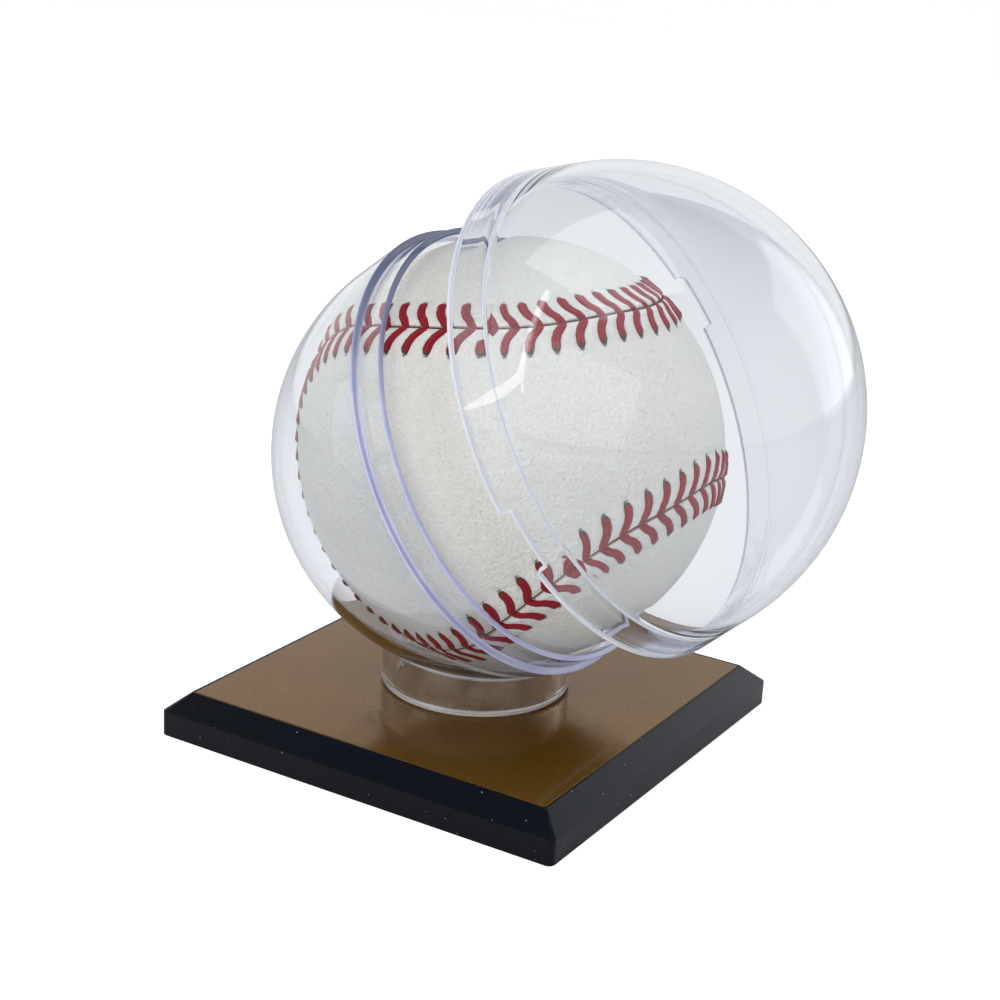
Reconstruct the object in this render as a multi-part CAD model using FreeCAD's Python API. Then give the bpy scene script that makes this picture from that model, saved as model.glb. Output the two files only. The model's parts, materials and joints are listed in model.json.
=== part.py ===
import FreeCAD, Part
import math
import os
from FreeCAD import Base

Vector = Base.Vector

# Baseball display case: a clear globe in two halves, on a ring, on a square bevelled base.
# Millimetres. The origin is the middle of the base's underside, +Z is up, and the cover
# comes off towards +X and upwards. The cover is shown taken off, as it is photographed.

# Base
base_side = 79.0            # square footprint
base_edge_height = 4.5      # upright part of the sides
base_bevel_height = 3.2     # height of the slanting bevel above it
base_bevel_inset = 3.7      # how far the bevel leans in
base_corner_radius = 1.2    # upright corners, seen from above

# Plate let into the top of the base
plate_thickness = 0.8
plate_margin = 0.35         # rim of the base left bare round the plate
plate_corner_radius = 0.5
plate_side_gap = 0.05       # room round the plate in its recess
bond_thickness = 0.15       # adhesive film under the plate and under the ring

# Ring that carries the globe
ring_outer_radius = 16.85
ring_wall = 2.2
ring_edge_radius = 0.5      # rounded lower edge of the ring
cement_gap = 0.05           # solvent joint between the ring and the globe

# Globe: each half is a part sphere whose wall runs out straight to its rim
ball_clearance = 0.9        # room round the ball inside the rear half
globe_wall = 1.4
globe_lift = 4.0            # room between the plate and the lowest point of the rear half
globe_forward = 2.1         # centre of the rear half in front of the ring's axis
globe_tilt = 28.7           # degrees that the globe's axis points up from level
rear_draft = 9.0            # degrees that the rear half's straight wall leans out
rear_rim_height = 3.2       # shoulder plane beyond the centre of the rear half's sphere
rim_edge_radius = 0.25      # softened edges of the lip and the skirt

# Lip of the rear half
lip_length = 4.8
lip_thickness = 1.1

# Cover, whose skirt goes over the lip and past the shoulder
cover_overhang = 2.0        # the cover's sphere is this much larger than the rear half's
cover_wall = 1.5
cover_draft = 13.5          # degrees that the cover's straight wall leans out
cover_rim_height = 0.7      # rim plane beyond the centre of the cover's sphere
skirt_depth = 5.55          # depth of the skirt up to its inner step
skirt_draft = 8.0           # degrees that the skirt's bore opens towards the rim
skirt_overlap = 2.0         # how far the closed skirt goes past the shoulder
shoulder_fit_gap = 0.3      # room between the shoulder and the closed skirt
cover_pulled_off = 23.8     # distance from the closed place along the globe's axis

# Two shallow notches in the cover's rim, opposite each other
notch_depth = 1.8
notch_length = 10.8
notch_turn = 17.8           # degrees below level, seen along the globe's axis

# Ball: rubber layers go on from the core outwards, the skin and the windings under it are
# measured inwards from the leather, and the inner winding fills what is left between
ball_radius = 36.4          # over the leather
leather_thickness = 1.25
finish_thickness = 0.45
outer_grey_thickness = 1.8
white_thickness = 1.8
core_radius = 10.3
cup_thickness = 3.9
red_rubber_thickness = 2.4
washer_thickness = 1.6
washer_width = 2.4
layer_gap = 0.05            # room between one layer and the next
ball_beyond_centre = 3.4    # ball's centre along the globe's axis from the rear half's centre
ball_turns = (-2.6, 3.7, 0.6)   # degrees about the ball's own axes, as it lies in the case

# Seam of the ball, and the stitches over it
seam_waist = 0.432          # shape of the seam curve, the radians left at its narrow place
seam_points = 160           # points that the seam curve goes through
seam_gap = 0.5              # between the two leather panels
stitch_count = 108          # V stitches along the seam, each with two legs
stitch_reach = 5.0          # from the seam to the stitch holes
stitch_lean = 2.8           # how far a leg leans back along the seam
stitch_width = 1.85
stitch_height = 0.55
stitch_lift = 0.02          # between a leg's middle and the leather
stitch_start = 0.65         # a leg starts this far from the middle of the seam

# Values that follow from the ones above
base_height = base_edge_height + base_bevel_height
top_side = base_side - 2 * base_bevel_inset
recess_side = top_side - 2 * plate_margin
recess_depth = plate_thickness + bond_thickness
cup_radius = core_radius + cup_thickness
red_rubber_radius = cup_radius + red_rubber_thickness
finish_radius = ball_radius - leather_thickness
outer_grey_radius = finish_radius - finish_thickness
white_radius = outer_grey_radius - outer_grey_thickness
inner_grey_radius = white_radius - white_thickness
rear_inner_radius = ball_radius + ball_clearance
globe_radius = rear_inner_radius + globe_wall
globe_height = base_height + globe_lift + globe_radius
rear_lean = math.radians(rear_draft)
rear_rim_radius = (globe_radius + rear_rim_height * math.sin(rear_lean)) / math.cos(rear_lean)
lip_radius = rear_inner_radius + lip_thickness
cover_radius = globe_radius + cover_overhang
cover_lean = math.radians(cover_draft)
cover_rim_radius = (cover_radius + cover_rim_height * math.sin(cover_lean)) / math.cos(cover_lean)
skirt_slope = math.tan(math.radians(skirt_draft))
skirt_rim_radius = rear_rim_radius + shoulder_fit_gap + skirt_overlap * skirt_slope
skirt_step_radius = skirt_rim_radius - skirt_depth * skirt_slope
cover_closed = rear_rim_height - skirt_overlap + cover_rim_height
globe_centre = Vector(globe_forward, 0, globe_height)
tilt = math.radians(globe_tilt)
globe_axis = Vector(math.cos(tilt), 0, math.sin(tilt))
ball_centre = globe_centre + globe_axis * ball_beyond_centre
Z_UP = Vector(0, 0, 1)


def rounded_square(side, corner, height):
    """Wire of a square with rounded corners, centred on the Z axis."""
    half = side / 2
    flat = half - corner
    bend = corner * math.sqrt(0.5)
    edges = []
    for turn in range(4):
        spin = Base.Rotation(Z_UP, 90 * turn)
        start = Vector(half, -flat, height)
        end = Vector(half, flat, height)
        middle = Vector(flat + bend, flat + bend, height)
        after = Vector(flat, half, height)
        edges.append(Part.makeLine(spin.multVec(start), spin.multVec(end)))
        corner_arc = Part.Arc(spin.multVec(end), spin.multVec(middle), spin.multVec(after))
        edges.append(corner_arc.toShape())
    return Part.Wire(edges)


def square_slab(side, corner, bottom, thickness):
    """Flat slab with rounded corners, standing on the given height."""
    outline = rounded_square(side, corner, bottom)
    return Part.Face(outline).extrude(Z_UP * thickness)


def make_base_block():
    """Plinth: upright sides, a straight bevel above them, a recess in the top."""
    sides = square_slab(base_side, base_corner_radius, 0, base_edge_height)
    lower = rounded_square(base_side, base_corner_radius, base_edge_height)
    upper = rounded_square(top_side, plate_corner_radius, base_height)
    bevel = Part.makeLoft([lower, upper], True, True)
    recess = square_slab(recess_side, plate_corner_radius, base_height - recess_depth, recess_depth)
    return sides.fuse(bevel).removeSplitter().cut(recess)


def make_plate_bond_film():
    """Adhesive sheet on the floor of the recess."""
    side = recess_side - 2 * plate_side_gap
    return square_slab(side, plate_corner_radius, base_height - recess_depth, bond_thickness)


def make_top_plate():
    """Plate flush with the rim of the base."""
    side = recess_side - 2 * plate_side_gap
    return square_slab(side, plate_corner_radius, base_height - plate_thickness, plate_thickness)


def tube(outer, inner, bottom, height):
    """Upright tube on the Z axis."""
    foot = Vector(0, 0, bottom)
    outside = Part.makeCylinder(outer, height, foot)
    return outside.cut(Part.makeCylinder(inner, height, foot))


def make_ring_bond_film():
    """Adhesive ring on the plate, under the flat of the stand ring."""
    outer = ring_outer_radius - ring_edge_radius
    inner = ring_outer_radius - ring_wall + ring_edge_radius
    return tube(outer, inner, base_height, bond_thickness)


def make_stand_ring():
    """Clear tube, rounded at its lower edges and hollowed at the top to take the globe."""
    bottom = base_height + bond_thickness
    blank = tube(ring_outer_radius, ring_outer_radius - ring_wall, bottom, globe_height - bottom)
    low_edges = [edge for edge in blank.Edges if edge.BoundBox.ZMax < bottom + ring_edge_radius]
    round_edges = [edge for edge in low_edges if edge.BoundBox.XLength > ring_wall]
    blank = blank.makeFillet(ring_edge_radius, round_edges)
    seat = Part.makeSphere(globe_radius + cement_gap, globe_centre)
    return blank.cut(seat)


def turned(edges):
    """Solid turned about the local Z axis from a closed profile in the XZ plane."""
    profile = Part.Face(Part.Wire(edges))
    return profile.revolve(Vector(0, 0, 0), Z_UP, 360)


def place_on_globe_axis(shape, distance):
    """Stand a shape, made along local Z, on the globe's axis at a distance from the rear centre."""
    placed = shape.copy()
    placed.rotate(Vector(0, 0, 0), Vector(0, 1, 0), 90 - globe_tilt)
    placed.translate(globe_centre + globe_axis * distance)
    return placed


def dome_outside(radius, lean):
    """Outside of a half up to its straight wall, pole downwards, sphere centre at the local origin.

    Gives the pole, a point on the arc, and the place where the wall leaves the sphere.
    """
    halfway = (math.pi / 2 + lean) / 2
    pole = Vector(0, 0, -radius)
    on_arc = Vector(radius * math.cos(halfway), 0, -radius * math.sin(halfway))
    leaves = Vector(radius * math.cos(lean), 0, -radius * math.sin(lean))
    return pole, on_arc, leaves


def make_rear_half():
    """Fixed half of the globe: dome, straight wall, shoulder and a thinner lip."""
    pole, on_arc, leaves = dome_outside(globe_radius, rear_lean)
    rim = Vector(rear_rim_radius, 0, rear_rim_height)
    inner = rear_inner_radius
    lip_top = rear_rim_height + lip_length
    shoulder = Vector(lip_radius, 0, rear_rim_height)
    lip_outer = Vector(lip_radius, 0, lip_top - rim_edge_radius)
    lip_outer_top = Vector(lip_radius - rim_edge_radius, 0, lip_top)
    lip_inner_top = Vector(inner + rim_edge_radius, 0, lip_top)
    lip_inner = Vector(inner, 0, lip_top - rim_edge_radius)
    level = Vector(inner, 0, 0)
    inner_mid = Vector(inner * math.sqrt(0.5), 0, -inner * math.sqrt(0.5))
    inner_pole = Vector(0, 0, -inner)
    profile = [
        Part.Arc(pole, on_arc, leaves).toShape(),
        Part.makeLine(leaves, rim),
        Part.makeLine(rim, shoulder),
        Part.makeLine(shoulder, lip_outer),
        Part.makeLine(lip_outer, lip_outer_top),
        Part.makeLine(lip_outer_top, lip_inner_top),
        Part.makeLine(lip_inner_top, lip_inner),
        Part.makeLine(lip_inner, level),
        Part.Arc(level, inner_mid, inner_pole).toShape(),
        Part.makeLine(inner_pole, pole),
    ]
    return place_on_globe_axis(turned(profile), 0)


def cut_rim_notches(cover):
    """Cut the two notches into a cover that stands pole down with its rim at cover_rim_height."""
    for side in (0, 180):
        block = Part.makeBox(
            cover_rim_radius,
            notch_length,
            2 * notch_depth,
            Vector(cover_rim_radius / 2, -notch_length / 2, cover_rim_height - notch_depth),
        )
        block.rotate(Vector(0, 0, 0), Z_UP, 90 - notch_turn + side)
        cover = cover.cut(block)
    return cover


def make_front_half():
    """Cover: dome, skirt that goes over the lip, an inner step, and the two rim notches."""
    pole, on_arc, leaves = dome_outside(cover_radius, cover_lean)
    rim = Vector(cover_rim_radius, 0, cover_rim_height)
    inner = cover_radius - cover_wall
    step_height = cover_rim_height - skirt_depth
    step_angle = math.asin(step_height / inner)
    halfway = (step_angle - math.pi / 2) / 2
    rim_side = rim - (rim - leaves).normalize() * rim_edge_radius
    rim_outer = Vector(cover_rim_radius - rim_edge_radius, 0, cover_rim_height)
    rim_inner = Vector(skirt_rim_radius + rim_edge_radius, 0, cover_rim_height)
    skirt_top = Vector(skirt_rim_radius, 0, cover_rim_height - rim_edge_radius)
    skirt_foot = Vector(skirt_step_radius, 0, step_height)
    step_edge = Vector(inner * math.cos(step_angle), 0, step_height)
    inner_mid = Vector(inner * math.cos(halfway), 0, inner * math.sin(halfway))
    inner_pole = Vector(0, 0, -inner)
    profile = [
        Part.Arc(pole, on_arc, leaves).toShape(),
        Part.makeLine(leaves, rim_side),
        Part.makeLine(rim_side, rim_outer),
        Part.makeLine(rim_outer, rim_inner),
        Part.makeLine(rim_inner, skirt_top),
        Part.makeLine(skirt_top, skirt_foot),
        Part.makeLine(skirt_foot, step_edge),
        Part.Arc(step_edge, inner_mid, inner_pole).toShape(),
        Part.makeLine(inner_pole, pole),
    ]
    cover = cut_rim_notches(turned(profile))
    cover.rotate(Vector(0, 0, 0), Vector(1, 0, 0), 180)
    return place_on_globe_axis(cover, cover_closed + cover_pulled_off)


def ball_frame():
    """Turn from the ball's own axes to the case: its poles lie along the globe's axis."""
    sideways = Vector(0, -1, 0)
    across = Vector(-math.sin(tilt), 0, math.cos(tilt))
    aligned = Base.Rotation(sideways, across, globe_axis * -1, "ZXY")
    turns = Vector(*ball_turns)
    own = Base.Rotation(turns, turns.Length)
    return aligned.multiply(own)


BALL_FRAME = ball_frame()


def seam_direction(turn):
    """Unit vector from the ball's middle to its seam; turn runs from 0 to 4 pi once round."""
    latitude = math.pi / 2 - (math.pi / 2 - seam_waist) * math.cos(turn)
    longitude = turn / 2 + seam_waist * math.sin(2 * turn)
    own = Vector(
        math.sin(latitude) * math.cos(longitude),
        math.sin(latitude) * math.sin(longitude),
        math.cos(latitude),
    )
    return BALL_FRAME.multVec(own)


def seam_tangent(turn):
    """Unit vector along the seam, by a small step each way."""
    step = 1e-4
    return (seam_direction(turn + step) - seam_direction(turn - step)).normalize()


def seam_side_point(turn, offset, radius):
    """Point beside the seam by an offset measured on the ball's skin, at a given radius."""
    out = seam_direction(turn)
    side = seam_tangent(turn).cross(out)
    return ball_centre + (out * ball_radius + side * offset).normalize() * radius


def seam_loop(offset, radius):
    """Closed smooth curve that runs beside the seam."""
    turns = [4 * math.pi * index / seam_points for index in range(seam_points)]
    points = [seam_side_point(turn, offset, radius) for turn in turns]
    curve = Part.BSplineCurve()
    curve.interpolate(Points=points, PeriodicFlag=True)
    return curve.toShape()


def make_seam_ribbon():
    """Thin closed ribbon that stands through the leather along the seam."""
    low = finish_radius - layer_gap
    high = ball_radius + (ball_radius - finish_radius)
    left_low = seam_loop(-seam_gap / 2, low)
    left_high = seam_loop(-seam_gap / 2, high)
    right_low = seam_loop(seam_gap / 2, low)
    right_high = seam_loop(seam_gap / 2, high)
    sides = [
        Part.makeRuledSurface(left_low, left_high),
        Part.makeRuledSurface(left_high, right_high),
        Part.makeRuledSurface(right_high, right_low),
        Part.makeRuledSurface(right_low, left_low),
    ]
    skin = Part.Shell([face for side in sides for face in side.Faces])
    skin.sewShape()
    ribbon = Part.Solid(skin)
    if ribbon.Volume < 0:
        ribbon.reverse()
    return ribbon


def ball_layer(inner, outer, pole=Z_UP):
    """Closed round layer of the ball; pole is the axis that its two surfaces are turned about."""
    outside = Part.makeSphere(outer, ball_centre, pole)
    return outside.cut(Part.makeSphere(inner, ball_centre, pole))


def make_leather_panels():
    """The two figure-eight panels: the leather layer parted along the seam.

    The layer is turned about the middles of one panel's lobes, so its poles lie clear of the seam.
    """
    lobe_middle = BALL_FRAME.multVec(Vector(-1, 0, 0))
    leather = ball_layer(finish_radius + layer_gap, ball_radius, lobe_middle)
    panels = leather.cut(make_seam_ribbon()).Solids
    return sorted(panels, key=lambda panel: panel.CenterOfMass.x)


def make_stitch_leg(turn, side):
    """One leg of a V stitch: a flat rounded bar from the seam back to its hole."""
    out = seam_direction(turn)
    along = seam_tangent(turn)
    across = along.cross(out) * side
    reach = (across * stitch_reach - along * stitch_lean).normalize()
    length = math.hypot(stitch_reach, stitch_lean) - stitch_start
    middle_reach = stitch_start + length / 2
    up = (out * ball_radius + reach * middle_reach).normalize()
    flat = (reach - up * reach.dot(up)).normalize()
    bar = Part.makeBox(length, stitch_width, stitch_height, Vector(-length / 2, -stitch_width / 2, 0))
    long_edges = [edge for edge in bar.Edges if edge.BoundBox.XLength > stitch_width]
    top_edges = [edge for edge in long_edges if edge.BoundBox.ZMin > stitch_height / 2]
    bar = bar.makeFillet(stitch_height / 2, top_edges)
    bar.Placement = Base.Placement(
        ball_centre + up * (ball_radius + stitch_lift),
        Base.Rotation(flat, up.cross(flat), up, "ZXY"),
    )
    return bar


def even_seam_turns(count):
    """Turns that stand at equal distances along the seam."""
    fine = 4000
    turns = [4 * math.pi * index / fine for index in range(fine + 1)]
    places = [seam_direction(turn) for turn in turns]
    travelled = [0.0]
    for before, after in zip(places, places[1:]):
        travelled.append(travelled[-1] + (after - before).Length)
    pitch = travelled[-1] / count
    even = []
    index = 0
    for number in range(count):
        while travelled[index] < number * pitch:
            index += 1
        even.append(turns[index])
    return even


def make_red_stitching():
    """All the thread legs, as one group of separate pieces."""
    legs = [make_stitch_leg(turn, side) for turn in even_seam_turns(stitch_count) for side in (-1, 1)]
    return Part.makeCompound(legs)


def make_rubber_cups():
    """Two half shells round the cork, parted by the washer."""
    shell = ball_layer(core_radius + layer_gap, cup_radius)
    half_gap = washer_thickness / 2 + layer_gap
    size = 2 * ball_radius
    cups = []
    for side in (1, -1):
        keep = Part.makeBox(size, size, size, Vector(-size / 2, -size / 2, 0))
        keep.translate(ball_centre + Vector(0, 0, half_gap if side > 0 else -half_gap - size))
        cups.append(shell.common(keep))
    return cups


def make_red_rubber_washer():
    """Flat ring between the two cups."""
    foot = ball_centre - Z_UP * (washer_thickness / 2)
    outside = Part.makeCylinder(cup_radius - layer_gap, washer_thickness, foot)
    return outside.cut(Part.makeCylinder(cup_radius - washer_width, washer_thickness, foot))


def make_parts():
    """Every piece of the case and of the ball, by name."""
    cup_upper, cup_lower = make_rubber_cups()
    panel_a, panel_b = make_leather_panels()
    return {
        "base_block": make_base_block(),
        "plate_bond_film": make_plate_bond_film(),
        "top_plate": make_top_plate(),
        "ring_bond_film": make_ring_bond_film(),
        "stand_ring": make_stand_ring(),
        "rear_half": make_rear_half(),
        "front_half": make_front_half(),
        "cork_core": Part.makeSphere(core_radius, ball_centre),
        "black_rubber_cup_upper": cup_upper,
        "black_rubber_cup_lower": cup_lower,
        "red_rubber_washer": make_red_rubber_washer(),
        "red_rubber_layer": ball_layer(cup_radius + layer_gap, red_rubber_radius),
        "inner_grey_winding": ball_layer(red_rubber_radius + layer_gap, inner_grey_radius),
        "white_winding": ball_layer(inner_grey_radius + layer_gap, white_radius),
        "outer_grey_winding": ball_layer(white_radius + layer_gap, outer_grey_radius),
        "finish_winding": ball_layer(outer_grey_radius + layer_gap, finish_radius),
        "leather_panel_a": panel_a,
        "leather_panel_b": panel_b,
        "red_stitching": make_red_stitching(),
    }


os.makedirs("parts", exist_ok=True)
for name, shape in make_parts().items():
    shape.exportStep("parts/" + name + ".step")
    box = shape.BoundBox
    print(name, "solids", len(shape.Solids), "valid", shape.isValid(), "volume", round(shape.Volume, 1),
          "x", round(box.XMin, 2), round(box.XMax, 2), "y", round(box.YMin, 2), round(box.YMax, 2),
          "z", round(box.ZMin, 2), round(box.ZMax, 2))
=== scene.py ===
import json
import math

import bpy
import numpy as np
from mathutils import Matrix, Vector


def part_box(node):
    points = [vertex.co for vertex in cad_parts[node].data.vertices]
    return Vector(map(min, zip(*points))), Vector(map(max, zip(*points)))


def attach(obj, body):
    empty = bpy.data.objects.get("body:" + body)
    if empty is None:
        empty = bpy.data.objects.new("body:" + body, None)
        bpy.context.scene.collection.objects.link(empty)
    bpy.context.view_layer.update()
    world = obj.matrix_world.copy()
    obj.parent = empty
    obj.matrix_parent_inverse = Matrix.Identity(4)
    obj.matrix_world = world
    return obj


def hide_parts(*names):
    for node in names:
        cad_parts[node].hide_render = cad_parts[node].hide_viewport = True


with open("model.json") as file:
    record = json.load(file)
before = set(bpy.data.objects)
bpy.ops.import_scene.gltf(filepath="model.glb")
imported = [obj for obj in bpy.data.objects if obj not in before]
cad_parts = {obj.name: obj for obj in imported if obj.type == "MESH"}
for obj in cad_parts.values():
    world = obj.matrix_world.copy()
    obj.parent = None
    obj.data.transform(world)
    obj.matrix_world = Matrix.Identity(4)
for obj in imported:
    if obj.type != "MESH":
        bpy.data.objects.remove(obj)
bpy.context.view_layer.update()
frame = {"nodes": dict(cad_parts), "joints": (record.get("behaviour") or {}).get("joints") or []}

# A clear globe case for a stitched leather ball, on a ring and a bevelled base. Metres, in the
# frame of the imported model: +Z up, the cover comes off along the globe's slanting axis.

MM = 0.001


def joint(name):
    """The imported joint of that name."""
    return next(item for item in frame["joints"] if item["name"] == name)


def corners_of(node):
    """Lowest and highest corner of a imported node, as arrays."""
    low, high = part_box(node)
    return np.array(low), np.array(high)


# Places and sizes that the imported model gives
globe_axis = np.array(joint("cover_slide")["axis"])
ball_centre = np.array(joint("ball_spin")["pos_m"])
base_low, base_high = corners_of("base_block")
plate_low, plate_high = corners_of("top_plate")
ring_low, ring_high = corners_of("stand_ring")
base_half = base_high[0]
plate_half = plate_high[0]
base_height = base_high[2]

# Base, beyond its box
bevel_start = 4.5 * MM          # height where the bevel leaves the upright sides
bevel_inset = 3.7 * MM
base_corner = 1.2 * MM          # radius of the upright corners
base_edge = 0.2 * MM            # softened edges of the bevel and the rim
plate_corner = 0.5 * MM
plate_edge = 0.1 * MM           # softened edges of the plate
plate_gap = 0.05 * MM           # room round the plate in its recess

# Globe
ball_beyond_centre = 3.4 * MM   # ball's centre beyond the rear half's centre, along the axis
rear_radius = 38.7 * MM         # outside of the rear half's dome
rear_wall = 1.4 * MM
rear_lean = math.radians(9.0)   # straight wall leans out to the shoulder
shoulder_height = 3.2 * MM      # shoulder beyond the dome's centre
lip_length = 4.8 * MM
lip_thickness = 1.1 * MM
cover_radius = 40.69 * MM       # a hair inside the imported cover, whose mesh has short chords
cover_wall = 1.5 * MM
cover_lean = math.radians(13.5)
cover_rim_height = 0.7 * MM     # rim beyond the cover's own centre, towards the rear half
cover_rim_distance = 25.0 * MM  # rim plane from the rear half's centre, cover taken off
skirt_depth = 5.55 * MM
skirt_lean = math.radians(8.0)
skirt_rim_radius = 40.27 * MM
notch_depth = 1.8 * MM
notch_length = 10.8 * MM
notch_turn = math.radians(17.8)
edge_radius = 0.25 * MM         # softened moulded edges
# The finish of a wall's end is its second material, whose pale colour is painted light.
end_face_share = 0.9            # share of that softening that takes the finish of a wall's end
ledge_radius = 0.18 * MM        # corners of the step inside the cover
globe_centre = ball_centre - globe_axis * ball_beyond_centre

# Ring under the globe
ring_radius = ring_high[0]
ring_wall = 2.2 * MM
ring_edge = 0.5 * MM
cement_gap = 0.05 * MM

# Ball
ball_radius = 36.4 * MM
leather_thickness = 1.2 * MM
ball_turns = np.radians((-2.6, 3.7, 0.6))
seam_waist = 0.432              # shape of the seam curve, the radians left at its narrow place
seam_gap = 0.08 * MM            # from the middle of the seam to each panel's edge
stitch_count = 108
stitch_reach = 5.0 * MM         # from the seam to the needle holes
stitch_lean = 3.1 * MM          # how far a leg trails back along the seam
thread_half_width = 0.8 * MM
thread_half_height = 0.48 * MM
thread_rise = 0.16 * MM         # middle of a leg over the plain ball
crease_sink = 0.3 * MM          # how much lower a leg lies in the crease
hole_sink = 0.6 * MM            # how far a leg's end dives into its hole
end_narrowing = 0.3             # share of its width that a leg loses at each end
leg_in_crease = 0.2             # share of a leg's reach on which it rises from the crease
leg_taper = (0.8, 1.0)          # shares of the reach between which its end narrows
leg_dive = (0.85, 1.05)         # shares of the reach between which its end goes down
leather_ridge = 0.22 * MM       # height of the low ridge along the seam
ridge_reach = 3.6 * MM          # from the seam to where the ridge has mostly gone
leather_puff = 0.24 * MM        # how far the leather swells between two threads
puff_from = (0.2 * MM, 1.2 * MM)    # from the seam, where the swelling sets in
puff_until = (3.4 * MM, 5.0 * MM)   # from the seam, where it dies away
crease_depth = 0.45 * MM        # how far a panel's edge rolls down
crease_reach = 0.5 * MM         # width of that rolled edge
hole_depth = 0.3 * MM           # dimple round a needle hole
hole_length = 0.5 * MM          # its reach along the seam
hole_width = 0.45 * MM          # its reach across the seam

# Fineness of the meshes
globe_steps = 288               # angles round the globe's axis
dome_steps = 90                 # points from a dome's pole to its edge
wall_shares = np.array((0.2, 0.4, 0.6, 0.8, 0.94, 1.0))     # points up a straight wall, close at its edge
corner_steps = 6                # points of a rounded corner
notch_end_steps = 15            # extra angles at each end of a notch
ring_steps = 192                # angles round the stand ring
ring_foot_steps = 7
ring_lifts = np.array((0.03, 0.25, 0.5, 0.75, 0.97))        # points up the ring's wall
square_corner_steps = 9
seam_point_count = 2400         # points of the seam curve
panel_rows = 620
panel_columns = 112
panel_inside_skip = 8           # the hidden inside has only every eighth column
crowding = 0.4                  # weight of the spacing that crowds the columns towards the seam
crowding_power = 1.6
leg_stations = np.array((0, 0.06, 0.18, 0.38, 0.6, 0.82, 0.95, 1))  # shares of a leg's reach
leg_sides = 7


# Mesh helpers

def unit(vectors):
    """Vectors scaled to length one along the last axis."""
    return vectors / np.linalg.norm(vectors, axis=-1, keepdims=True)


def smooth(low, high, values):
    """Ramp from 0 at low to 1 at high, level at both ends."""
    share = np.clip((values - low) / (high - low), 0, 1)
    return share * share * (3 - 2 * share)


def mesh_object(name, points, faces, values=None):
    """Smooth-shaded object from points and faces, with named values on its points.

    A closed surface whose faces point inwards, by the sign of its volume, is turned round.
    """
    first = points[faces[:, 0]]
    volume = sum(
        np.einsum("ij,ij->i", first, np.cross(points[faces[:, k]], points[faces[:, k + 1]])).sum()
        for k in (1, 2)
    )
    if volume < 0:
        faces = faces[:, ::-1]
    doubled = faces[:, [0, 1, 2, 3]] == faces[:, [1, 2, 3, 0]]
    quads = faces[~doubled.any(axis=1)]
    pinched = faces[doubled.any(axis=1)]
    keep = np.argsort(doubled[doubled.any(axis=1)], axis=1, kind="stable")[:, :3]
    triangles = np.take_along_axis(pinched, np.sort(keep, axis=1), axis=1)
    every = np.concatenate([quads.ravel(), triangles.ravel()])
    used, renamed = np.unique(every, return_inverse=True)
    quad_list = renamed[:quads.size].reshape(-1, 4).tolist()
    triangle_list = renamed[quads.size:].reshape(-1, 3).tolist()
    mesh = bpy.data.meshes.new(name)
    mesh.from_pydata(points[used].tolist(), [], quad_list + triangle_list)
    mesh.polygons.foreach_set("use_smooth", np.ones(len(mesh.polygons), dtype=bool))
    for key, value in (values or {}).items():
        layer = mesh.attributes.new(key, "FLOAT", "POINT")
        layer.data.foreach_set("value", value[used].astype(np.float32))
    mesh.validate()
    piece = bpy.data.objects.new(name, mesh)
    bpy.context.scene.collection.objects.link(piece)
    return piece


def grid_faces(rows, columns, closed_rows=False, closed_columns=False, pinch=()):
    """Quads over a grid of points; pinch names rows or columns that shrink to one point.

    A pinch is ("row", number) or ("column", number); its points become the first of them.
    """
    index = np.arange(rows * columns).reshape(rows, columns)
    for way, number in pinch:
        if way == "row":
            index[number, :] = index[number, 0]
        else:
            index[:, number] = index[0, number]
    if closed_rows:
        index = np.vstack([index, index[:1]])
    if closed_columns:
        index = np.hstack([index, index[:, :1]])
    quads = [index[:-1, :-1], index[1:, :-1], index[1:, 1:], index[:-1, 1:]]
    return np.stack(quads, axis=-1).reshape(-1, 4)


def arc(centre, radius, start, end, steps):
    """Points of a circle in the plane of radius and height, from one angle to another."""
    angles = np.linspace(start, end, steps)
    across = centre[0] + radius * np.cos(angles)
    upward = centre[1] + radius * np.sin(angles)
    return np.stack([across, upward], axis=1)


def eased(corners, radius):
    """Open profile through corner points with each inner corner rounded to a radius.

    The rounding is an arc that touches both sides, with one more point close beside each end of
    it, so that the flat sides keep flat shading.
    """
    corners = np.asarray(corners, dtype=float)
    out = [corners[:1]]
    for before, here, after in zip(corners, corners[1:], corners[2:]):
        to_before = unit(before - here)
        to_after = unit(after - here)
        half_angle = math.acos(np.clip(to_before @ to_after, -1, 1)) / 2
        reach = radius / math.tan(half_angle)
        middle = here + unit(to_before + to_after) * (radius / math.sin(half_angle))
        share = np.linspace(0, 1, corner_steps)[:, None]
        start = here + to_before * reach - middle
        end = here + to_after * reach - middle
        bend = unit(start * (1 - share) + end * share) * radius + middle
        beside = 1.5 * reach
        out += [here[None] + to_before * beside, bend, here[None] + to_after * beside]
    return np.concatenate(out + [corners[-1:]])


across_axis = np.array((0.0, 1.0, 0.0))
up_axis = np.cross(globe_axis, across_axis)


def turned_on_globe_axis(radius, height, angles, origin):
    """Points of a surface turned about the globe's axis: radius and height for each angle."""
    side = np.cos(angles)[:, None, None] * across_axis + np.sin(angles)[:, None, None] * up_axis
    return origin + radius[..., None] * side + height[..., None] * globe_axis


def face_middles(piece):
    """Middles of a piece's faces, one row each."""
    middles = np.empty(len(piece.data.polygons) * 3)
    piece.data.polygons.foreach_get("center", middles)
    return middles.reshape(-1, 3)


def give_end_faces_painted_light(piece, chosen):
    """Put the chosen faces, those across a clear wall's end, into the piece's second finish, whose pale
    colour is painted light.
    """
    piece.data.polygons.foreach_set("material_index", chosen.astype(np.int32))


def full_turn(steps):
    """Even angles once round."""
    return np.linspace(0, 2 * math.pi, steps, endpoint=False)


# Pieces

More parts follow.
